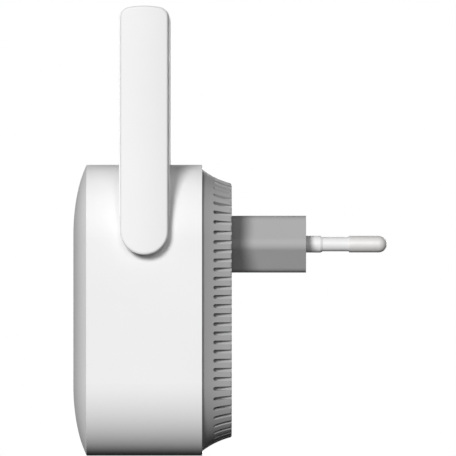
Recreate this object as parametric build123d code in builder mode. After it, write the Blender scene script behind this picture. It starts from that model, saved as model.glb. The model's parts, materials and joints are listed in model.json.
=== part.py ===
from build123d import *
import math
import os

# Plug-in wifi range extender with a two-pin mains plug and two folding antennas.
# Millimetres. +Z is up, the front faces -Y and the plug points +Y.
# The origin is the plug's axis on the flat back face.

# Housing
body_size = 70.0
corner_radius = 17.5
centre_z = -15.9
apex_y = -38.1
edge_y = -34.9
shell_rear_y = -7.1
dome_start = 1.0
dome_flank = (11.5, -36.95)
wall = 2.0
back_wall = 2.0

# Rear shell flare
flare_front_inset = 1.1
flare_back_inset = 4.5
flare_bulge = 0.41
flare_wall = 1.6
back_round = 0.5
spigot_depth = 3.0
spigot_wall = 1.2
fit_gap = 0.1

# Vent grooves
groove_width = 0.9
groove_front_y = -4.4
groove_floor_inset = 5.0
groove_floor_wall = 1.0
grooves_per_side = 16
grooves_per_corner = 9

# Plug
plug_width = 35.3
plug_height = 13.7
plug_point = plug_width / 2 + 0.5
plug_flat = 26.0
plug_side_round = 2.3
plug_edge_round = 2.6
plug_depth = 17.9
pin_spacing = 19.0
pin_length = 19.5
pin_radius = 2.0
pin_neck_radius = 1.45
collar_radius = 2.03
sleeve_radius = 1.73
collar_end_y = plug_depth + 4.1
collar_taper = 0.6
sleeve_end_y = plug_depth + 10.5

# Antennas
pivot_y = -20.95
pivot_z = 3.2
antenna_top = 53.9
outer_half_width = 5.72
inner_half_width = 6.05
crown_radius = 20.0
crown_corner = 2.4
face_crown_radius = 32.0
antenna_x = 35.6
split_x = 37.5
antenna_outer_x = 39.5
antenna_wall = 1.0
cut_height = 3.6
shaft_radius = 4.0
shaft_bore = 1.2
shaft_end_x = 28.6
running_gap = 0.05
lead_radius = 0.405

# Boards
power_board_y = -8.0
power_board_thickness = 1.6
main_board_y = -28.3
main_board_thickness = 1.2

# Fasteners
screw_offset = 23.0
boss_radius = 3.2
column_radius = 4.0
column_front_y = -9.0

half = body_size / 2
flat_half = half - corner_radius
power_parts_y = power_board_y - power_board_thickness
main_front_y = main_board_y - main_board_thickness
housing_bottom_z = centre_z - half
side_name = {1: "right", -1: "left"}

os.makedirs("parts", exist_ok=True)


def front_plane(y):
    """Plane across the housing at depth y: local x is X, local y is Z, and extruding runs forward."""
    return Plane.XZ.offset(-y)


def side_plane(x):
    """Plane of the antenna outlines at width x, centred on the hinge pivot."""
    return Plane(origin=(x, pivot_y, pivot_z), x_dir=(0, 1, 0), z_dir=(1, 0, 0))


def save(solid, name):
    """Label one finished piece and write it."""
    solid.label = name
    export_step(solid, f"parts/{name}.step")


def round_square(profile):
    """Carry a half-section round the square outline: along the four sides and round the four corners."""
    depth = profile.bounding_box()
    with BuildPart() as solid:
        for angle in (0, 90, 180, 270):
            quarter = Location((0, 0, centre_z), (0, angle, 0))
            corner = quarter * Location((flat_half, 0, flat_half))
            strip = quarter * Location((flat_half, 0, -flat_half))
            revolve(profile.moved(corner), axis=Axis(corner.position, (0, -1, 0)), revolution_arc=90)
            extrude(profile.moved(strip), amount=2 * flat_half)
        with Locations((0, depth.center().Y, centre_z)):
            Box(2 * flat_half, depth.size.Y, 2 * flat_half)
    return solid.part


def hexagon_outline(margin):
    """Long hexagon of the plug body, with rounded corners, grown by margin."""
    wide = plug_point + margin
    tall = plug_height / 2 + margin
    flat = plug_flat / 2
    Polygon((-wide, 0), (-flat, tall), (flat, tall), (wide, 0), (flat, -tall), (-flat, -tall), align=None)
    fillet(vertices().group_by(Axis.Y)[0] + vertices().group_by(Axis.Y)[-1], plug_edge_round)
    fillet(vertices().group_by(Axis.X)[0] + vertices().group_by(Axis.X)[-1], plug_side_round)


def paddle_outline(half_width):
    """Antenna outline about its pivot: round below, straight sides and a gently crowned top."""
    crown_drop = crown_radius - math.sqrt(crown_radius**2 - half_width**2)
    shoulder_height = antenna_top - crown_drop
    with BuildLine() as outline:
        Line((-half_width, 0), (-half_width, shoulder_height))
        ThreePointArc((-half_width, shoulder_height), (0, antenna_top), (half_width, shoulder_height))
        Line((half_width, shoulder_height), (half_width, 0))
        ThreePointArc((half_width, 0), (0, -half_width), (-half_width, 0))
    make_face(outline.edges())
    fillet(vertices().group_by(Axis.Y)[-1], crown_corner)


def slot_upward(width, bottom, top):
    """Round-ended slot between two heights above the pivot."""
    with Locations((0, (bottom + top) / 2)):
        SlotOverall(top - bottom, width, rotation=90)


def lead_route(points):
    """Straight runs joined by tangent arcs, each as large as its two runs allow."""
    here = Vector(*points[0])
    for before, corner, after in zip(points, points[1:], points[2:]):
        run_in = Vector(*corner) - Vector(*before)
        run_out = Vector(*after) - Vector(*corner)
        reach = 0.45 * min(run_in.length, run_out.length)
        start = Vector(*corner) - run_in.normalized() * reach
        end = Vector(*corner) + run_out.normalized() * reach
        turn = math.radians(run_in.get_angle(run_out))
        print(f"lead arc radius {reach / math.tan(turn / 2):.2f} mm")
        Line(here, start)
        TangentArc(start, end, tangent=run_in)
        here = end
    Line(here, points[-1])


def pan_screw(place, head_side, head_radius, shank_radius, length):
    """Cross-head screw; its head stands on the head_side of place (1 is the back, -1 the front)."""
    seat = Plane(origin=place, x_dir=(1, 0, 0), z_dir=(0, head_side, 0))
    head_height = 0.72 * head_radius
    with BuildSketch(seat) as head:
        Circle(head_radius)
    extrude(head.sketch, amount=head_height)
    with BuildSketch(seat) as shank:
        Circle(shank_radius)
    extrude(shank.sketch, amount=-length)
    with BuildSketch(seat.offset(head_height)) as recess:
        Rectangle(1.2 * head_radius, 0.28 * head_radius)
        Rectangle(0.28 * head_radius, 1.2 * head_radius)
    extrude(recess.sketch, amount=-0.5 * head_height, mode=Mode.SUBTRACT)


def corner_spots(offset):
    """Four places square to the housing centre, in X and Z."""
    return [(x, centre_z + z) for x in (-offset, offset) for z in (-offset, offset)]


# Cushion: the full outer form of the front shell, with its shallow dome
with BuildSketch() as cushion_section:
    with BuildLine():
        flank = TangentArc((dome_start, apex_y), dome_flank, tangent=(1, 0))
        shoulder = TangentArc(flank @ 1, (corner_radius, edge_y), tangent=flank % 1)
        Polyline(shoulder @ 1, (corner_radius, shell_rear_y), (0, shell_rear_y), (0, apex_y), flank @ 0)
    make_face()
cushion = round_square(cushion_section.face())

with BuildPart() as cushion_hollow:
    add(cushion.moved(Location((0, wall, 0))))
    with BuildSketch(front_plane(0)):
        with Locations((0, centre_z)):
            RectangleRounded(body_size - 2 * wall, body_size - 2 * wall, corner_radius - wall)
    extrude(amount=-apex_y, mode=Mode.INTERSECT)
hollow = cushion_hollow.part

# Front shell: cushion wall with screw bosses, hinge bearings, light hole and button hole
light_z = centre_z - 14.1
light_radius = 1.3
button_y = -26.5
button_width = 7.0
button_depth = 3.0
bearing_radius = 6.5
bearing_end_x = 30.2
boss_shoulder_radius = 4.2
boss_front_y = -36.6
boss_pilot_radius = 1.25
boss_pilot_depth = 11.0
standoff_spots = [(-14.0, 9.5), (14.0, -42.0)]
standoff_radius = 2.4
standoff_pilot_radius = 0.85

with BuildPart() as front_shell_form:
    add(cushion)
    add(hollow, mode=Mode.SUBTRACT)
    with BuildSketch(front_plane(column_front_y)):
        with Locations(*corner_spots(screw_offset)):
            Circle(boss_radius)
    extrude(amount=column_front_y - boss_front_y)
    with BuildSketch(front_plane(main_front_y)):
        with Locations(*corner_spots(screw_offset)):
            Circle(boss_shoulder_radius)
        with Locations(*standoff_spots):
            Circle(standoff_radius)
    extrude(amount=main_front_y - boss_front_y)
    for side in (1, -1):
        with BuildSketch(side_plane(side * bearing_end_x)):
            Circle(bearing_radius)
        extrude(amount=side * (half - wall / 2 - bearing_end_x))
        with BuildSketch(side_plane(side * bearing_end_x)):
            Circle(shaft_radius + running_gap)
        extrude(amount=side * (half - bearing_end_x + 1), mode=Mode.SUBTRACT)
    with BuildSketch(front_plane(column_front_y)):
        with Locations(*corner_spots(screw_offset)):
            Circle(boss_pilot_radius)
    extrude(amount=boss_pilot_depth, mode=Mode.SUBTRACT)
    with BuildSketch(front_plane(main_front_y)):
        with Locations(*standoff_spots):
            Circle(standoff_pilot_radius)
    extrude(amount=3.6, mode=Mode.SUBTRACT)
    with BuildSketch(front_plane(main_front_y)):
        with Locations((0, light_z)):
            Circle(light_radius + fit_gap)
    extrude(amount=10, mode=Mode.SUBTRACT)
    with BuildSketch(Plane(origin=(0, button_y, housing_bottom_z), z_dir=(0, 0, 1))):
        SlotOverall(button_width + 2 * fit_gap, button_depth + 2 * fit_gap)
    extrude(amount=wall + 1, mode=Mode.SUBTRACT)

save(front_shell_form.part, "front_shell")

# Rear shell: concave flare with vent grooves, a spigot into the front shell and a flat back wall
column_head_radius = 2.8
column_head_depth = 6.0
column_hole_radius = 1.5
peg_spots = [(0, 10.5), (0, -10.5)]
peg_radius = 1.5
peg_height = 2.0
peg_pilot_radius = 0.85
peg_pilot_depth = 3.2
post_spots = [(-26.0, -31.0), (26.0, -31.0), (-26.0, -6.0), (26.0, -6.0)]
post_radius = 2.2
post_pilot_radius = 0.85
post_pilot_depth = 5.0
label_width = 34.0
label_height = 17.0
label_z = -31.0
label_depth = 0.3
inner_back_y = -back_wall
spigot_size = body_size - 2 * (wall + fit_gap)


def flare_section():
    """Half-section of the flare, drawn outward from a corner axis."""
    front_u = corner_radius - flare_front_inset
    back_u = corner_radius - flare_back_inset
    with BuildSketch() as section:
        with BuildLine():
            SagittaArc((front_u, shell_rear_y), (back_u, 0), flare_bulge)
            Polyline((back_u, 0), (0, 0), (0, shell_rear_y), (front_u, shell_rear_y))
        make_face()
        fillet(section.vertices().group_by(Axis.Y)[-1].sort_by(Axis.X)[-1], back_round)
    return section.face()


def groove_places():
    """One place per vent groove, with local x pointing out of the housing from the groove's floor."""
    floor = Location((corner_radius - groove_floor_inset, 0, 0))
    places = []
    for angle in (0, 90, 180, 270):
        side = Location((0, 0, centre_z), (0, angle, 0))
        for i in range(grooves_per_side):
            along = flat_half * ((2 * i + 1) / grooves_per_side - 1)
            places.append(side * Location((flat_half, 0, along)) * floor)
        for i in range(grooves_per_corner):
            turn = -90 * (i + 0.5) / grooves_per_corner
            swing = Location((flat_half, 0, flat_half), (0, turn, 0))
            places.append(side * swing * floor)
    return places


groove_length = 1 - groove_front_y
with BuildPart() as groove_cutter:
    with BuildSketch(Plane.YZ):
        with Locations((groove_front_y + groove_length / 2, 0)):
            SlotOverall(groove_length, groove_width)
    extrude(amount=5)
groove = groove_cutter.part


def cavity_section():
    """Half-section of the hollow inside the flare, which narrows behind the floors of the grooves."""
    front_u = corner_radius - flare_front_inset - flare_wall
    back_u = corner_radius - groove_floor_inset - groove_floor_wall
    narrow_y = groove_front_y - groove_floor_wall
    with BuildSketch() as section:
        with BuildLine():
            Polyline((0, shell_rear_y), (front_u, shell_rear_y), (back_u, narrow_y),
                     (back_u, inner_back_y), (0, inner_back_y), close=True)
        make_face()
    return section.face()


flare_outside = round_square(flare_section())
cavity = round_square(cavity_section())

with BuildPart() as rear_shell_form:
    add(flare_outside)
    with BuildSketch(front_plane(shell_rear_y)):
        with Locations((0, centre_z)):
            RectangleRounded(spigot_size, spigot_size, corner_radius - wall - fit_gap)
    extrude(amount=spigot_depth)
    add(cavity, mode=Mode.SUBTRACT)
    with BuildSketch(front_plane(shell_rear_y)):
        with Locations((0, centre_z)):
            RectangleRounded(spigot_size - 2 * spigot_wall, spigot_size - 2 * spigot_wall,
                             corner_radius - wall - fit_gap - spigot_wall)
    extrude(amount=spigot_depth, mode=Mode.SUBTRACT)
    with BuildSketch(front_plane(inner_back_y)):
        with Locations(*corner_spots(screw_offset)):
            Circle(column_radius)
    extrude(amount=inner_back_y - column_front_y)
    with BuildSketch(front_plane(inner_back_y)):
        with Locations(*post_spots):
            Circle(post_radius)
    extrude(amount=inner_back_y - power_board_y)
    with BuildSketch(front_plane(inner_back_y)):
        with Locations(*peg_spots):
            Circle(peg_radius)
    extrude(amount=peg_height)
    with BuildSketch(front_plane(0)):
        with Locations(*corner_spots(screw_offset)):
            Circle(column_hole_radius)
    extrude(amount=-column_front_y, mode=Mode.SUBTRACT)
    with BuildSketch(front_plane(0)):
        with Locations(*corner_spots(screw_offset)):
            Circle(column_head_radius)
    extrude(amount=column_head_depth, mode=Mode.SUBTRACT)
    with BuildSketch(front_plane(power_board_y + post_pilot_depth)):
        with Locations(*post_spots):
            Circle(post_pilot_radius)
    extrude(amount=post_pilot_depth, mode=Mode.SUBTRACT)
    with BuildSketch(front_plane(inner_back_y - peg_height + peg_pilot_depth)):
        with Locations(*peg_spots):
            Circle(peg_pilot_radius)
    extrude(amount=peg_pilot_depth, mode=Mode.SUBTRACT)
    with BuildSketch(front_plane(0)):
        hexagon_outline(fit_gap)
    extrude(amount=back_wall, mode=Mode.SUBTRACT)
    with BuildSketch(front_plane(0)):
        with Locations((0, label_z)):
            RectangleRounded(label_width, label_height, 1.5)
    extrude(amount=label_depth, mode=Mode.SUBTRACT)
    with Locations(*groove_places()):
        add(groove, mode=Mode.SUBTRACT)
save(rear_shell_form.part, "rear_shell")

# Plug block: insulating hexagonal body with a flange behind the back wall
flange_margin = 1.6
flange_thickness = 2.0
flange_front_y = inner_back_y - flange_thickness
tab_width = 9.0
tab_reach = 12.9
pin_bore_radius = 2.08

with BuildPart() as plug_block_form:
    with BuildSketch(front_plane(plug_depth)):
        hexagon_outline(0)
    extrude(amount=plug_depth - inner_back_y)
    with BuildSketch(front_plane(inner_back_y)):
        hexagon_outline(flange_margin)
        RectangleRounded(tab_width, 2 * tab_reach, 2)
    extrude(amount=flange_thickness)
    with BuildSketch(front_plane(inner_back_y)):
        with Locations(*peg_spots):
            Circle(peg_radius + fit_gap)
    extrude(amount=flange_thickness, mode=Mode.SUBTRACT)
    with BuildSketch(front_plane(plug_depth)):
        with Locations((-pin_spacing / 2, 0), (pin_spacing / 2, 0)):
            Circle(pin_bore_radius)
    extrude(amount=plug_depth - flange_front_y, mode=Mode.SUBTRACT)
save(plug_block_form.part, "plug_block")

# Plug pins, each with a part sleeve and a solder tab
sleeve_start_y = plug_depth - 3.3
pin_tip_y = plug_depth + pin_length
pin_tail_y = flange_front_y - 2.5
pin_tail_radius = 1.5
pin_stop_radius = 2.8
pin_stop_thickness = 0.9
tab_front_y = pin_tail_y + 0.5
tab_thickness = 0.8
tab_ring_radius = 2.7
tab_leg_width = 2.0
tab_leg_z = -4.7
tab_end_y = power_parts_y - 0.8

for side, name in side_name.items():
    pin_x = side * pin_spacing / 2
    pin_axis = Axis((pin_x, 0, 0), (0, 1, 0))

    with BuildPart() as pin:
        with BuildSketch(Plane(origin=(pin_x, 0, 0))):
            with BuildLine():
                Polyline(
                    (0, pin_tail_y),
                    (pin_tail_radius, pin_tail_y),
                    (pin_tail_radius, flange_front_y - pin_stop_thickness),
                    (pin_stop_radius, flange_front_y - pin_stop_thickness),
                    (pin_stop_radius, flange_front_y),
                    (pin_radius, flange_front_y),
                    (pin_radius, sleeve_start_y),
                    (pin_neck_radius, sleeve_start_y),
                    (pin_neck_radius, sleeve_end_y),
                    (pin_radius, sleeve_end_y),
                    (pin_radius, pin_tip_y - pin_radius),
                )
                RadiusArc((pin_radius, pin_tip_y - pin_radius), (0, pin_tip_y), -pin_radius)
                Line((0, pin_tip_y), (0, pin_tail_y))
            make_face()
        revolve(axis=pin_axis)
    save(pin.part, f"plug_pin_{name}")

    with BuildPart() as sleeve:
        with BuildSketch(Plane(origin=(pin_x, 0, 0))):
            with BuildLine():
                Polyline(
                    (pin_neck_radius + running_gap, sleeve_start_y),
                    (collar_radius, sleeve_start_y),
                    (collar_radius, collar_end_y - collar_taper),
                    (sleeve_radius, collar_end_y),
                    (sleeve_radius, sleeve_end_y),
                    (pin_neck_radius + running_gap, sleeve_end_y),
                    close=True,
                )
            make_face()
        revolve(axis=pin_axis)
    save(sleeve.part, f"pin_sleeve_{name}")

    with BuildPart() as mains_tab:
        with BuildSketch(front_plane(tab_front_y + tab_thickness)):
            with Locations((pin_x, 0)):
                Circle(tab_ring_radius)
                Rectangle(tab_leg_width, tab_thickness - tab_leg_z, align=(Align.CENTER, Align.MAX))
                Circle(pin_tail_radius + running_gap, mode=Mode.SUBTRACT)
        extrude(amount=tab_thickness)
        with BuildSketch(front_plane(tab_front_y)):
            with Locations((pin_x, tab_leg_z)):
                Rectangle(tab_leg_width, tab_thickness, align=(Align.CENTER, Align.MAX))
        extrude(amount=tab_front_y - tab_end_y)
    save(mains_tab.part, f"mains_tab_{name}")

# Antennas: a two-part paddle on a hollow hinge hub, with its element board and lead
edge_round = 0.6
cavity_half_width = 4.2
cavity_top = antenna_top - 2.6
cavity_bottom = cut_height + antenna_wall
hub_radius = 5.6
hub_inner_x = half + 0.3
hub_flat = cut_height - 0.1
bell_radius = 3.6
bell_depth = 3.0
clip_groove_radius = 3.2
clip_radius = 5.4
clip_x = 29.0
clip_thickness = 0.7
clip_gap = 0.05
clip_mouth = 5.0
washer_x = 29.8
washer_thickness = 0.3
washer_radius = 6.0
element_width = 7.0
element_bottom = 10.0
element_top = 48.0
element_thickness = 0.6
lead_x = split_x + lead_radius + 0.1
lead_bend = 3.4
lead_joint_x = 31.0
connector_x = 25.0
connector_z = -9.0
connector_width = 3.2
pigtail_points = [
    (lead_joint_x - 0.1, pivot_y, pivot_z),
    (27.0, pivot_y, pivot_z),
    (24.4, -21.9, 1.0),
    (24.2, -24.4, -1.6),
    (connector_x, -26.4, -4.4),
    (connector_x, -26.4, connector_z + connector_width / 2),
]

for side, name in side_name.items():
    with BuildPart() as outer_shell:
        with BuildSketch(side_plane(side * split_x)):
            paddle_outline(outer_half_width)
        extrude(amount=side * (antenna_outer_x - split_x))
        with Locations((side * (antenna_outer_x - face_crown_radius), pivot_y, pivot_z)):
            Cylinder(face_crown_radius, 3 * antenna_top, mode=Mode.INTERSECT)
        fillet(outer_shell.faces().sort_by(Axis.X)[-1 if side > 0 else 0].edges(), edge_round)
        with BuildSketch(side_plane(side * split_x)):
            slot_upward(2 * cavity_half_width, -cavity_half_width, cavity_top)
        extrude(amount=side * (antenna_outer_x - antenna_wall - split_x), mode=Mode.SUBTRACT)
    save(outer_shell.part, f"antenna_outer_shell_{name}")

    with BuildPart() as inner_shell:
        with BuildSketch(side_plane(side * antenna_x)):
            paddle_outline(inner_half_width)
            with Locations((0, cut_height)):
                Rectangle(4 * inner_half_width, 4 * inner_half_width, align=(Align.CENTER, Align.MAX),
                          mode=Mode.SUBTRACT)
        extrude(amount=side * (split_x - antenna_x))
        fillet(inner_shell.faces().sort_by(Axis.X)[0 if side > 0 else -1].edges(), edge_round)
        with BuildSketch(side_plane(side * (antenna_x + antenna_wall))):
            slot_upward(2 * cavity_half_width, cavity_bottom, cavity_top)
        extrude(amount=side * (split_x - antenna_x - antenna_wall), mode=Mode.SUBTRACT)
    save(inner_shell.part, f"antenna_inner_shell_{name}")

    with BuildPart() as hub:
        with BuildSketch(side_plane(side * hub_inner_x)):
            Circle(hub_radius)
            with Locations((0, hub_flat)):
                Rectangle(2 * hub_radius, 2 * hub_radius, align=(Align.CENTER, Align.MIN), mode=Mode.SUBTRACT)
        extrude(amount=side * (split_x - hub_inner_x))
        with BuildSketch(side_plane(side * hub_inner_x)):
            Circle(shaft_radius)
        extrude(amount=-side * (hub_inner_x - shaft_end_x))
        with BuildSketch(side_plane(side * (clip_x - clip_gap))):
            Circle(shaft_radius + 1)
            Circle(clip_groove_radius, mode=Mode.SUBTRACT)
        extrude(amount=side * (clip_thickness + 2 * clip_gap), mode=Mode.SUBTRACT)
        with BuildSketch(Plane(origin=(0, pivot_y, pivot_z))):
            Polygon(
                (side * (shaft_end_x - 1), 0),
                (side * (shaft_end_x - 1), shaft_bore),
                (side * (split_x - bell_depth), shaft_bore),
                (side * (split_x + 1), bell_radius),
                (side * (split_x + 1), 0),
                align=None,
            )
        revolve(axis=Axis((0, pivot_y, pivot_z), (1, 0, 0)), mode=Mode.SUBTRACT)
    save(hub.part, f"hinge_hub_{name}")

    with BuildPart() as clip:
        with BuildSketch(side_plane(side * clip_x)):
            Circle(clip_radius)
            Circle(clip_groove_radius + clip_gap, mode=Mode.SUBTRACT)
            Rectangle(clip_mouth, 2 * clip_radius, align=(Align.CENTER, Align.MIN), mode=Mode.SUBTRACT)
        extrude(amount=side * clip_thickness)
    save(clip.part, f"hinge_clip_{name}")

    with BuildPart() as washer:
        with BuildSketch(side_plane(side * washer_x)):
            Circle(washer_radius)
            Circle(shaft_radius + fit_gap, mode=Mode.SUBTRACT)
        extrude(amount=side * washer_thickness)
    save(washer.part, f"friction_washer_{name}")

    with BuildPart() as element:
        with BuildSketch(side_plane(side * (split_x - element_thickness))):
            with Locations((0, element_bottom)):
                Rectangle(element_width, element_top - element_bottom, align=(Align.CENTER, Align.MIN))
        extrude(amount=side * element_thickness)
    save(element.part, f"antenna_element_{name}")

    with BuildPart() as lead:
        with BuildLine() as lead_line:
            Line((side * lead_x, pivot_y, pivot_z + element_bottom + 4),
                 (side * lead_x, pivot_y, pivot_z + lead_bend))
            TangentArc((side * lead_x, pivot_y, pivot_z + lead_bend),
                       (side * (lead_x - lead_bend), pivot_y, pivot_z), tangent=(0, 0, -1))
            Line((side * (lead_x - lead_bend), pivot_y, pivot_z), (side * lead_joint_x, pivot_y, pivot_z))
        with BuildSketch(Plane(origin=lead_line.line @ 0, z_dir=lead_line.line % 0)):
            Circle(lead_radius)
        sweep(path=lead_line.line)
    save(lead.part, f"antenna_lead_{name}")

    with BuildPart() as pigtail:
        with BuildLine() as pigtail_line:
            lead_route([(side * x, y, z) for x, y, z in pigtail_points])
        with BuildSketch(Plane(origin=pigtail_line.line @ 0, z_dir=pigtail_line.line % 0)):
            Circle(lead_radius)
        sweep(path=pigtail_line.line)
    save(pigtail.part, f"antenna_pigtail_{name}")

# Button and tactile switch on the underside
button_face_z = housing_bottom_z + 0.1
button_flange_z = housing_bottom_z + wall + 0.05
button_flange_thickness = 0.8
button_stem_top_z = -47.25
button_stem_radius = 1.2
switch_width = 6.0
switch_depth = 3.5
switch_top_z = -42.4
switch_bottom_z = -45.9
plunger_radius = 0.9
plunger_top_z = -43.6

with BuildPart() as button:
    with BuildSketch(Plane(origin=(0, button_y, button_face_z), z_dir=(0, 0, 1))):
        SlotOverall(button_width, button_depth)
    extrude(amount=button_flange_z - button_face_z)
    with BuildSketch(Plane(origin=(0, button_y, button_flange_z), z_dir=(0, 0, 1))):
        SlotOverall(button_width + 2, button_depth + 2)
    extrude(amount=button_flange_thickness)
    with BuildSketch(Plane(origin=(0, button_y, button_flange_z), z_dir=(0, 0, 1))):
        Circle(button_stem_radius)
    extrude(amount=button_stem_top_z - button_flange_z)
    fillet(button.faces().sort_by(Axis.Z)[0].edges(), 0.3)
save(button.part, "reset_button")

with BuildPart() as plunger:
    with BuildSketch(Plane(origin=(0, button_y, button_stem_top_z), z_dir=(0, 0, 1))):
        Circle(plunger_radius)
    extrude(amount=plunger_top_z - button_stem_top_z)
save(plunger.part, "switch_plunger")

with BuildPart() as switch:
    with BuildSketch(front_plane(main_board_y + switch_depth)):
        with Locations((0, (switch_top_z + switch_bottom_z) / 2)):
            Rectangle(switch_width, switch_top_z - switch_bottom_z)
    extrude(amount=switch_depth)
    with BuildSketch(Plane(origin=(0, button_y, switch_bottom_z), z_dir=(0, 0, 1))):
        Circle(plunger_radius + running_gap)
    extrude(amount=3.0, mode=Mode.SUBTRACT)
save(switch.part, "tact_switch")

# Boards
power_board_width = 58.0
power_board_top = 2.6
power_board_bottom = -34.4
main_board_size = 60.0
main_board_corner = 13.0
hole_gap = 0.3
screw_clearance = 1.1

with BuildPart() as power_board:
    with BuildSketch(front_plane(power_board_y)):
        with Locations((0, (power_board_top + power_board_bottom) / 2)):
            RectangleRounded(power_board_width, power_board_top - power_board_bottom, 1)
        with Locations(*post_spots):
            Circle(screw_clearance, mode=Mode.SUBTRACT)
        with Locations(*[(side * pin_spacing / 2, tab_leg_z - tab_thickness / 2) for side in side_name]):
            Rectangle(tab_leg_width + 0.4, tab_thickness + 0.4, mode=Mode.SUBTRACT)
    extrude(amount=power_board_thickness)
save(power_board.part, "power_board")

with BuildPart() as main_board:
    with BuildSketch(front_plane(main_board_y)):
        with Locations((0, centre_z)):
            RectangleRounded(main_board_size, main_board_size, main_board_corner)
        with Locations(*corner_spots(screw_offset)):
            Circle(boss_radius + hole_gap, mode=Mode.SUBTRACT)
        with Locations(*standoff_spots):
            Circle(screw_clearance, mode=Mode.SUBTRACT)
    extrude(amount=main_board_thickness)
save(main_board.part, "main_board")

# Power board components: place, width, height and depth of each block, and radius and depth of each can
power_blocks = {
    "bridge_rectifier": (10.5, -11.0, 4.7, 3.9, 2.6),
    "power_controller": (10.0, -19.0, 4.9, 3.9, 1.5),
    "optocoupler": (-13.8, -16.0, 4.6, 6.5, 3.5),
}
power_cans = {
    "bulk_capacitors": ([(20.0, -16.8), (20.0, -25.6)], 4.0, 12.0),
    "output_capacitor": ([(-19.5, -29.5)], 3.15, 11.0),
    "filter_inductor": ([(8.5, -29.3)], 3.2, 8.0),
}
can_round = 0.5

for name, (x, z, width, height, depth) in power_blocks.items():
    with BuildPart() as block:
        with BuildSketch(front_plane(power_parts_y)):
            with Locations((x, z)):
                Rectangle(width, height)
        extrude(amount=depth)
        chamfer(block.faces().sort_by(Axis.Y)[0].edges(), 0.2)
    save(block.part, name)

for name, (spots, radius, depth) in power_cans.items():
    with BuildPart() as can:
        with BuildSketch(front_plane(power_parts_y)):
            with Locations(*spots):
                Circle(radius)
        extrude(amount=depth)
        fillet(can.faces().group_by(Axis.Y)[0].edges(), can_round)
    save(can.part, name)

# Transformer: a pair of ferrite E cores closed round a taped coil
transformer_spot = (-3.0, -19.0)
core_width = 13.2
core_height = 13.0
core_depth = 6.0
core_window = (3.1, 9.0)
core_window_x = 2.95
coil_size = 8.8
coil_depth = 12.8
coil_hole = (2.9, 6.1)
core_back_y = -13.5

with BuildPart() as core:
    with BuildSketch(front_plane(core_back_y)):
        with Locations(transformer_spot):
            Rectangle(core_width, core_height)
            with Locations((-core_window_x, 0), (core_window_x, 0)):
                Rectangle(*core_window, mode=Mode.SUBTRACT)
    extrude(amount=core_depth)
save(core.part, "transformer_core")

with BuildPart() as coil:
    with BuildSketch(front_plane(power_parts_y)):
        with Locations(transformer_spot):
            Rectangle(coil_size, coil_size)
    extrude(amount=coil_depth)
    fillet(coil.edges().filter_by(Axis.Z), 1.2)
    with BuildSketch(Plane.XY.offset(transformer_spot[1] - coil_size / 2)):
        with Locations((transformer_spot[0], core_back_y - core_depth / 2)):
            Rectangle(*coil_hole)
    extrude(amount=coil_size, mode=Mode.SUBTRACT)
save(coil.part, "transformer_coil")

# Fuse resistor and Y capacitor
with BuildPart() as fuse:
    with BuildSketch(Plane.YZ.offset(14.0)):
        with Locations((power_parts_y - 1.6, -4.5)):
            Circle(1.5)
    extrude(amount=8.0)
    fillet(fuse.edges(), 0.4)
save(fuse.part, "fuse_resistor")

with BuildPart() as disc:
    with BuildSketch(Plane.XY.offset(-7.5)):
        with Locations((-3.0, power_parts_y - 3.7)):
            Circle(3.5)
    extrude(amount=2.6)
    fillet(disc.edges(), 0.8)
save(disc.part, "y_capacitor")

# Board-to-board connector
header_spot = (-21.0, -17.0)
header_width = 2.5
header_height = 10.2
header_base = 2.5
header_pin = 0.64
header_pitch = 2.54
header_end_y = -24.0
socket_depth = 8.5

with BuildPart() as header:
    with BuildSketch(front_plane(power_parts_y)):
        with Locations(header_spot):
            Rectangle(header_width, header_height)
    extrude(amount=header_base)
    with BuildSketch(front_plane(power_parts_y)):
        with Locations(header_spot):
            with GridLocations(header_pitch, header_pitch, 1, 4):
                Rectangle(header_pin, header_pin)
    extrude(amount=power_parts_y - header_end_y)
save(header.part, "power_header")

with BuildPart() as socket:
    with BuildSketch(front_plane(main_board_y + socket_depth)):
        with Locations(header_spot):
            Rectangle(header_width, header_height)
            with GridLocations(header_pitch, header_pitch, 1, 4):
                Rectangle(header_pin + 2 * fit_gap, header_pin + 2 * fit_gap, mode=Mode.SUBTRACT)
    extrude(amount=socket_depth)
save(socket.part, "power_socket")

# Radio parts: place, width, height and depth of each block, on the front or back of the main board
radio_z = -13.0
pad_thickness = 1.0
spreader_thickness = 1.2
pad_back_y = main_board_y + pad_thickness
spreader_back_y = pad_back_y + spreader_thickness
sheet_thickness = 0.25
radio_blocks = {
    "wifi_chip": (main_front_y, 0, radio_z, 9.0, 9.0, 0.9),
    "flash_chip": (main_front_y, 19.0, -12.0, 6.0, 5.0, 1.5),
    "crystal": (main_front_y, 17.0, -21.0, 3.2, 2.5, 0.8),
    "status_light": (main_front_y, 0, light_z, 1.6, 0.8, 0.7),
    "thermal_pad": (pad_back_y, 0, radio_z, 18.0, 18.0, pad_thickness),
    "heat_spreader": (spreader_back_y, 0, radio_z, 30.0, 26.0, spreader_thickness),
    "insulating_sheet": (spreader_back_y + sheet_thickness, 0, radio_z, 34.0, 30.0, sheet_thickness),
}

for name, (back_y, x, z, width, height, depth) in radio_blocks.items():
    with BuildPart() as block:
        with BuildSketch(front_plane(back_y)):
            with Locations((x, z)):
                Rectangle(width, height)
        extrude(amount=depth)
    save(block.part, name)

can_width = 24.0
can_height = 21.0
can_depth = 2.6
can_wall = 0.3
with BuildPart() as shield:
    with BuildSketch(front_plane(main_front_y)):
        with Locations((0, radio_z)):
            Rectangle(can_width, can_height)
    extrude(amount=can_depth)
    fillet(shield.edges().filter_by(Axis.Y), 0.8)
    with BuildSketch(front_plane(main_front_y)):
        with Locations((0, radio_z)):
            Rectangle(can_width - 2 * can_wall, can_height - 2 * can_wall)
    extrude(amount=can_depth - can_wall, mode=Mode.SUBTRACT)
save(shield.part, "shield_can")

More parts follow.
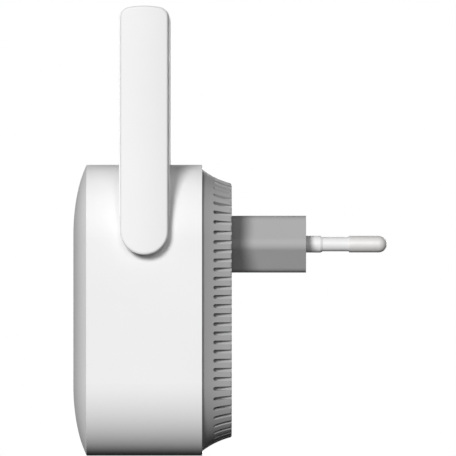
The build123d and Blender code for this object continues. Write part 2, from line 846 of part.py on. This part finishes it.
receptacle_depth = 1.2
plug_cap_depth = 1.4
with BuildPart() as coax_connectors:
    with BuildSketch(front_plane(main_board_y + receptacle_depth + plug_cap_depth)):
        with Locations(*[(side * connector_x, connector_z) for side in side_name]):
            Rectangle(connector_width, connector_width)
    extrude(amount=receptacle_depth + plug_cap_depth)
    fillet(coax_connectors.faces().group_by(Axis.Y)[-1].edges(), 0.25)
save(coax_connectors.part, "coax_connectors")

# Light pipe from the status light to a flush window in the front
pipe_flange_radius = 2.2
pipe_flange_y = apex_y + wall + 0.05
pipe_flange_thickness = 0.8
pipe_end_y = main_front_y - 1.0

with BuildPart() as light_pipe:
    with BuildSketch(front_plane(pipe_end_y)):
        with Locations((0, light_z)):
            Circle(light_radius)
    extrude(amount=pipe_end_y - apex_y)
    with BuildSketch(front_plane(pipe_flange_y + pipe_flange_thickness)):
        with Locations((0, light_z)):
            Circle(pipe_flange_radius)
    extrude(amount=pipe_flange_thickness)
save(light_pipe.part, "light_pipe")

# Screws
housing_screw = {"head_radius": 2.4, "shank_radius": 1.2, "length": 12.0}
small_screw = {"head_radius": 1.8, "shank_radius": 0.8}

with BuildPart() as housing_screws:
    for x, z in corner_spots(screw_offset):
        pan_screw((x, -column_head_depth, z), 1, **housing_screw)
save(housing_screws.part, "housing_screws")

with BuildPart() as plug_screws:
    for x, z in peg_spots:
        pan_screw((x, flange_front_y, z), -1, length=2.9, **small_screw)
save(plug_screws.part, "plug_block_screws")

with BuildPart() as board_screws:
    for x, z in post_spots:
        pan_screw((x, power_parts_y, z), -1, length=5.0, **small_screw)
    for x, z in standoff_spots:
        pan_screw((x, main_board_y, z), 1, length=4.0, **small_screw)
save(board_screws.part, "board_screws")
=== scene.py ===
import json
import math
import bpy
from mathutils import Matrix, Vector


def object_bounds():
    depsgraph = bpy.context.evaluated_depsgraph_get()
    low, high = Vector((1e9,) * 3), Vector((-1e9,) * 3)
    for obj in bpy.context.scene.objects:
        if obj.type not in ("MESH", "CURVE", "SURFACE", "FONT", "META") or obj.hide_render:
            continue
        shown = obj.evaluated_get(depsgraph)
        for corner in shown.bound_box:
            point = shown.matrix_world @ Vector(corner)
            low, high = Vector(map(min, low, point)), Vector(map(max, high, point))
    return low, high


# A plug-in wifi range extender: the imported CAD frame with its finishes, a pale floor, studio light
# and a long-lens camera level with its side. Metres. +Z is up, the front faces -Y, the plug points +Y.

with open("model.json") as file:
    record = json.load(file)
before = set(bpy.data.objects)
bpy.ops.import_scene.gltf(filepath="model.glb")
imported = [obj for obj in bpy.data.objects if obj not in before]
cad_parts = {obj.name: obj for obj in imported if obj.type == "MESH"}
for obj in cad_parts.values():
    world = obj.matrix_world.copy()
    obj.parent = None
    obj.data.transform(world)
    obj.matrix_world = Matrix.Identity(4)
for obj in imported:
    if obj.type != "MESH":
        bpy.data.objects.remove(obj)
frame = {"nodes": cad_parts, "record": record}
cad_low, cad_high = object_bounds()

MM = 0.001

# ---------------------------------------------------------------- camera

# The picture is square. It is as wide as picture_width at the plane x = scale_plane_x.
picture_width = 109.75 * MM
scale_plane_x = 17.5 * MM
picture_centre_y = -0.9 * MM
picture_centre_z = 3.9 * MM

# Camera data takes the lens and sensor in millimetres. Such a long lens has almost no perspective.
lens = 1200.0
sensor = 36.0
camera_x = scale_plane_x + picture_width * lens / sensor

camera_data = bpy.data.cameras.new("camera")
camera_data.lens = lens
camera_data.sensor_width = sensor
camera_data.clip_start = 0.1
camera_data.clip_end = 20.0
camera = bpy.data.objects.new("camera", camera_data)
camera.location = (camera_x, picture_centre_y, picture_centre_z)
camera.rotation_euler = Vector((1, 0, 0)).to_track_quat("Z", "Y").to_euler()
bpy.context.collection.objects.link(camera)
bpy.context.scene.camera = camera


# ---------------------------------------------------------------- node helpers

# Noise stays mostly between these two values.
noise_low = 0.3
noise_high = 0.7

# An edge is where the rounded and the true normal part. The cosine between them runs from the first
# value, where the edge begins to show, to the second, where it shows in full.
edge_begins = 0.98
edge_full = 0.75

# Where a Mix node keeps its two colours and their mixture.
mix_first = 6
mix_second = 7
mix_result = 2


class Tree:
    """A few short words for building one material's nodes."""

    def __init__(self, name):
        self.material = bpy.data.materials.new(name)
        self.material.use_nodes = True
        self.nodes = self.material.node_tree.nodes
        self.links = self.material.node_tree.links
        self.nodes.clear()
        self.shader = self.add("ShaderNodeBsdfPrincipled")
        self.output = self.add("ShaderNodeOutputMaterial")
        self.link(self.shader.outputs[0], self.output, "Surface")
        coordinates = self.add("ShaderNodeTexCoord")
        self.place = coordinates.outputs["Object"]

    def add(self, kind, **settings):
        node = self.nodes.new(kind)
        for key, value in settings.items():
            setattr(node, key, value)
        return node

    def link(self, source, node, socket):
        self.links.new(source, node.inputs[socket])

    def surface(self, colour, roughness, normal):
        """Give the shader its colour, roughness and normal, and return the finished material."""
        self.link(colour, self.shader, "Base Color")
        self.link(roughness, self.shader, "Roughness")
        self.link(normal, self.shader, "Normal")
        return self.material

    def noise(self, scale, detail=2.0, stretch=(1, 1, 1)):
        """Noise over the object's own coordinates; scale is in bumps per metre."""
        mapping = self.add("ShaderNodeMapping")
        mapping.inputs["Scale"].default_value = stretch
        self.link(self.place, mapping, "Vector")
        node = self.add("ShaderNodeTexNoise")
        node.inputs["Scale"].default_value = scale
        node.inputs["Detail"].default_value = detail
        self.link(mapping.outputs[0], node, "Vector")
        return node.outputs["Fac"]

    def remap(self, source, low, high, to_low, to_high):
        """Carry the range low to high over to the range to_low to to_high."""
        node = self.add("ShaderNodeMapRange")
        sockets = ("From Min", "From Max", "To Min", "To Max")
        for socket, value in zip(sockets, (low, high, to_low, to_high)):
            node.inputs[socket].default_value = value
        self.link(source, node, "Value")
        return node.outputs["Result"]

    def spread(self, noise, to_low=0.0, to_high=1.0):
        """Stretch noise to run from one value to the other."""
        return self.remap(noise, noise_low, noise_high, to_low, to_high)

    def around(self, noise, middle, either_way):
        """A value that noise moves either way from the middle."""
        return self.spread(noise, middle - either_way, middle + either_way)

    def blend(self, factor, first, second):
        """Mix two colours, each a tuple or another node's socket."""
        node = self.add("ShaderNodeMix", data_type="RGBA")
        self.link(factor, node, "Factor")
        for socket, colour in ((mix_first, first), (mix_second, second)):
            if isinstance(colour, tuple):
                node.inputs[socket].default_value = (*colour, 1)
            else:
                self.link(colour, node, socket)
        return node.outputs[mix_result]

    def tones(self, factor, colour, darkest, palest):
        """The colour from its darkest to its palest tone, each a share of it, as the factor rises."""
        return self.blend(factor, scaled(colour, darkest), scaled(colour, palest))

    def edges(self, radius, strength):
        """The normal with rounded edges, and a mask that is strength on edges and 0 on open faces."""
        bevel = self.add("ShaderNodeBevel", samples=4)
        bevel.inputs["Radius"].default_value = radius
        rounded = bevel.outputs[0]
        geometry = self.add("ShaderNodeNewGeometry")
        cosine = self.add("ShaderNodeVectorMath", operation="DOT_PRODUCT")
        self.link(rounded, cosine, 0)
        self.link(geometry.outputs["Normal"], cosine, 1)
        mask = self.remap(cosine.outputs["Value"], edge_begins, edge_full, 0.0, strength)
        return rounded, mask

    def bump(self, height, strength, distance, normal=None):
        """A normal bumped by height; distance is the depth of the bumps in metres."""
        node = self.add("ShaderNodeBump")
        node.inputs["Strength"].default_value = strength
        node.inputs["Distance"].default_value = distance
        self.link(height, node, "Height")
        if normal is not None:
            self.link(normal, node, "Normal")
        return node.outputs[0]


def scaled(colour, factor):
    return tuple(min(1.0, channel * factor) for channel in colour)


# ---------------------------------------------------------------- kinds of finish

def moulded_plastic(name, colour, roughness, grain=3500.0, grain_depth=0.012 * MM, coat=0.0, shine=0.25):
    """Injection-moulded plastic: fine spark-eroded grain, faint tone drift, slightly polished edges."""
    tree = Tree(name)
    drift = tree.spread(tree.noise(scale=35.0))
    base = tree.tones(drift, colour, darkest=0.985, palest=1.01)
    rounded, worn = tree.edges(radius=0.15 * MM, strength=0.35)
    smudges = tree.noise(scale=160.0, detail=3.0)
    pits = tree.noise(scale=grain, detail=1.0)
    tree.shader.inputs["Specular IOR Level"].default_value = shine
    tree.shader.inputs["Coat Weight"].default_value = coat
    return tree.surface(
        colour=tree.blend(worn, base, scaled(colour, 1.08)),
        roughness=tree.around(smudges, roughness, 0.05),
        normal=tree.bump(pits, strength=0.35, distance=grain_depth, normal=rounded))


def plated_metal(name, colour, roughness, stretch=(1, 1, 1), metallic=1.0):
    """Plated or sheet metal: drawn lines along one way, cloudy tone and brighter edges."""
    tree = Tree(name)
    cloud = tree.spread(tree.noise(scale=220.0, detail=3.0))
    base = tree.tones(cloud, colour, darkest=0.94, palest=1.03)
    rounded, worn = tree.edges(radius=0.1 * MM, strength=0.5)
    lines = tree.noise(scale=2500.0, stretch=stretch)
    tree.shader.inputs["Metallic"].default_value = metallic
    return tree.surface(
        colour=tree.blend(worn, base, scaled(colour, 1.12)),
        roughness=tree.around(lines, roughness, 0.06),
        normal=tree.bump(lines, strength=0.25, distance=0.004 * MM, normal=rounded))


def circuit_board(name, mask_colour, track_colour):
    """Solder mask over copper: faint raised tracks, glass weave and a soft gloss."""
    tree = Tree(name)
    cells = tree.add("ShaderNodeTexVoronoi", feature="DISTANCE_TO_EDGE")
    cells.inputs["Scale"].default_value = 420.0
    tree.link(tree.place, cells, "Vector")
    tracks = tree.remap(cells.outputs["Distance"], 0.02, 0.06, 1.0, 0.0)
    weave = tree.remap(tree.noise(scale=2600.0, detail=1.0), 0.35, 0.65, 0.0, 1.0)
    base = tree.tones(weave, mask_colour, darkest=0.9, palest=1.1)
    return tree.surface(
        colour=tree.blend(tracks, base, track_colour),
        roughness=tree.remap(weave, 0.0, 1.0, 0.28, 0.36),
        normal=tree.bump(tracks, strength=0.4, distance=0.03 * MM))


def wrapped(name, colour, roughness, rings, ring_direction):
    """Tape, shrink sleeve or a cord's jacket: fine rings across one direction and a soft sheen."""
    tree = Tree(name)
    wave = tree.add("ShaderNodeTexWave", wave_type="BANDS", bands_direction=ring_direction)
    wave.inputs["Scale"].default_value = rings
    wave.inputs["Distortion"].default_value = 0.6
    tree.link(tree.place, wave, "Vector")
    cloud = tree.noise(scale=300.0)
    return tree.surface(
        colour=tree.tones(tree.spread(cloud), colour, darkest=0.9, palest=1.1),
        roughness=tree.around(cloud, roughness, 0.05),
        normal=tree.bump(wave.outputs["Fac"], strength=0.2, distance=0.02 * MM))


def milky_window(name, thick, thin, roughness, clearness):
    """Slightly see-through polycarbonate, clouded between a thick and a thin colour."""
    tree = Tree(name)
    cloud = tree.noise(scale=900.0, detail=3.0)
    spread_cloud = tree.spread(cloud)
    tree.shader.inputs["Transmission Weight"].default_value = clearness
    return tree.surface(
        colour=tree.blend(spread_cloud, thick, thin),
        roughness=tree.around(cloud, roughness, 0.05),
        normal=tree.bump(spread_cloud, strength=0.1, distance=0.01 * MM))


# ---------------------------------------------------------------- finishes, one per material slot

white = (0.86, 0.86, 0.86)
light_grey = (0.405, 0.405, 0.409)

# Drawn lines run along the axis whose stretch is small.
along_x = (0.05, 1, 1)
along_y = (1, 0.05, 1)

recipes = {
    "shell_white": (moulded_plastic, dict(colour=white, roughness=0.65, shine=0.15)),
    "shell_grey": (moulded_plastic, dict(colour=light_grey, roughness=0.65, shine=0.12)),
    "plug_grey": (moulded_plastic, dict(colour=scaled(light_grey, 1.08), roughness=0.65, shine=0.12)),
    "button_white": (moulded_plastic, dict(colour=scaled(white, 0.97), roughness=0.48)),
    "antenna_white": (moulded_plastic, dict(
        colour=scaled(white, 0.985), roughness=0.55, grain_depth=0.008 * MM, shine=0.2)),
    "hub_white": (moulded_plastic, dict(colour=scaled(white, 0.95), roughness=0.5)),
    "sleeve_white": (moulded_plastic, dict(colour=white, roughness=0.4, grain_depth=0.006 * MM)),
    "pin_nickel": (plated_metal, dict(
        colour=(0.8, 0.79, 0.775), roughness=0.6, stretch=along_y, metallic=0.1)),
    "contact_brass": (plated_metal, dict(colour=(0.8, 0.6, 0.25), roughness=0.35)),
    "screw_steel": (plated_metal, dict(colour=(0.6, 0.61, 0.62), roughness=0.35)),
    "can_steel": (plated_metal, dict(colour=(0.7, 0.7, 0.7), roughness=0.3, stretch=along_x)),
    "spreader_aluminium": (plated_metal, dict(colour=(0.78, 0.79, 0.8), roughness=0.4, stretch=along_x)),
    "board_green": (circuit_board, dict(mask_colour=(0.02, 0.13, 0.05), track_colour=(0.04, 0.22, 0.09))),
    "chip_black": (moulded_plastic, dict(colour=(0.02, 0.02, 0.021), roughness=0.55, grain=6000.0)),
    "opto_white": (moulded_plastic, dict(colour=(0.72, 0.72, 0.7), roughness=0.5, grain=6000.0)),
    "ferrite": (moulded_plastic, dict(
        colour=(0.045, 0.045, 0.048), roughness=0.6, grain=5000.0, grain_depth=0.03 * MM)),
    "ceramic_blue": (moulded_plastic, dict(
        colour=(0.03, 0.12, 0.35), roughness=0.3, grain=900.0, coat=0.3)),
    "capacitor_sleeve": (wrapped, dict(
        colour=(0.015, 0.02, 0.035), roughness=0.3, rings=900.0, ring_direction="Y")),
    "coil_tape": (wrapped, dict(colour=(0.75, 0.5, 0.04), roughness=0.3, rings=500.0, ring_direction="Y")),
    "lead_black": (wrapped, dict(
        colour=(0.025, 0.025, 0.025), roughness=0.45, rings=2500.0, ring_direction="X")),
    "light_window": (milky_window, dict(
        thick=(0.72, 0.76, 0.78), thin=(0.82, 0.85, 0.86), roughness=0.25, clearness=0.35)),
    "pad_grey": (moulded_plastic, dict(
        colour=(0.25, 0.28, 0.33), roughness=0.8, grain=2500.0, grain_depth=0.05 * MM)),
    "sheet_paper": (moulded_plastic, dict(
        colour=(0.06, 0.06, 0.055), roughness=0.75, grain=1800.0, grain_depth=0.04 * MM)),
    "washer_acetal": (moulded_plastic, dict(colour=(0.8, 0.8, 0.74), roughness=0.4)),
}
finishes = {slot: kind(slot, **values) for slot, (kind, values) in recipes.items()}

slot_of_node = {part["node"]: part["material_slot"] for part in frame["record"]["subparts"]}
for node, piece in frame["nodes"].items():
    for material_slot in piece.material_slots:
        material_slot.material = finishes[slot_of_node[node]]


# ---------------------------------------------------------------- floor

floor_drop = 0.12
floor_half = 3.0
floor_z = cad_low.z - floor_drop
floor_glow = 0.45

floor_mesh = bpy.data.meshes.new("floor")
floor_corners = ((-1, -1), (1, -1), (1, 1), (-1, 1))
floor_points = [(floor_half * x, floor_half * y, floor_z) for x, y in floor_corners]
floor_mesh.from_pydata(floor_points, [], [(0, 1, 2, 3)])
floor = bpy.data.objects.new("floor", floor_mesh)
bpy.context.collection.objects.link(floor)

floor_tree = Tree("floor_pale")
floor_cloud = floor_tree.spread(floor_tree.noise(scale=3.0, detail=3.0))
floor_colour = floor_tree.blend(floor_cloud, (0.8, 0.8, 0.8), (0.84, 0.84, 0.84))
floor_tree.link(floor_colour, floor_tree.shader, "Base Color")
floor_tree.shader.inputs["Roughness"].default_value = 0.9
floor_tree.shader.inputs["Emission Color"].default_value = (1, 1, 1, 1)
floor_tree.shader.inputs["Emission Strength"].default_value = floor_glow

# Seen from below, the floor is clear, so that the underside can be looked at.
floor_facing = floor_tree.add("ShaderNodeNewGeometry")
floor_clear = floor_tree.add("ShaderNodeBsdfTransparent")
floor_mix = floor_tree.add("ShaderNodeMixShader")
floor_tree.link(floor_facing.outputs["Backfacing"], floor_mix, 0)
floor_tree.link(floor_tree.shader.outputs[0], floor_mix, 1)
floor_tree.link(floor_clear.outputs[0], floor_mix, 2)
floor_tree.link(floor_mix.outputs[0], floor_tree.output, "Surface")
floor_mesh.materials.append(floor_tree.material)

# It is only a backdrop: it neither lights the object nor shows in it.
floor.visible_diffuse = False
floor.visible_glossy = False
floor.visible_shadow = False


# ---------------------------------------------------------------- light

lamp_distance = 3.0


def soft_light(name, left, up, size, level):
    """Round soft light aimed at the object. left and up are degrees off the photo camera's line; level
    is how much of full white it gives a white face square to it."""
    swing, rise = math.radians(left), math.radians(up)
    flat = math.cos(rise)
    direction = Vector((flat * math.cos(swing), -flat * math.sin(swing), math.sin(rise)))
    data = bpy.data.lights.new(name, "AREA")
    data.shape = "DISK"
    data.size = size
    data.energy = level * math.pi**2 * lamp_distance**2
    lamp = bpy.data.objects.new(name, data)
    lamp.location = direction * lamp_distance
    lamp.rotation_euler = direction.to_track_quat("Z", "Y").to_euler()
    bpy.context.collection.objects.link(lamp)


soft_light("key", left=15.9, up=17.4, size=0.8, level=0.825)
soft_light("camera_fill", left=-8, up=11, size=1.4, level=0.23)
soft_light("dome_fill", left=88, up=4, size=1.4, level=0.14)
soft_light("far_side", left=-158, up=4, size=1.6, level=0.6)
soft_light("back_side", left=-168, up=6, size=1.6, level=0.4)

# The camera sees a white backdrop, and the object gets only a little light from it.
world_white = 1.0
world_glow = 0.01

world = bpy.data.worlds.new("studio")
world.use_nodes = True
bpy.context.scene.world = world
world_nodes = world.node_tree.nodes
world_links = world.node_tree.links
world_nodes.clear()
world_path = world_nodes.new("ShaderNodeLightPath")
world_mix = world_nodes.new("ShaderNodeMix")
world_mix.data_type = "FLOAT"
world_mix.inputs["A"].default_value = world_glow
world_mix.inputs["B"].default_value = world_white
world_sky = world_nodes.new("ShaderNodeBackground")
world_sky.inputs["Color"].default_value = (1, 1, 1, 1)
world_output = world_nodes.new("ShaderNodeOutputWorld")
world_links.new(world_path.outputs["Is Camera Ray"], world_mix.inputs["Factor"])
world_links.new(world_mix.outputs["Result"], world_sky.inputs["Strength"])
world_links.new(world_sky.outputs[0], world_output.inputs["Surface"])

bpy.context.scene.view_settings.view_transform = "Standard"
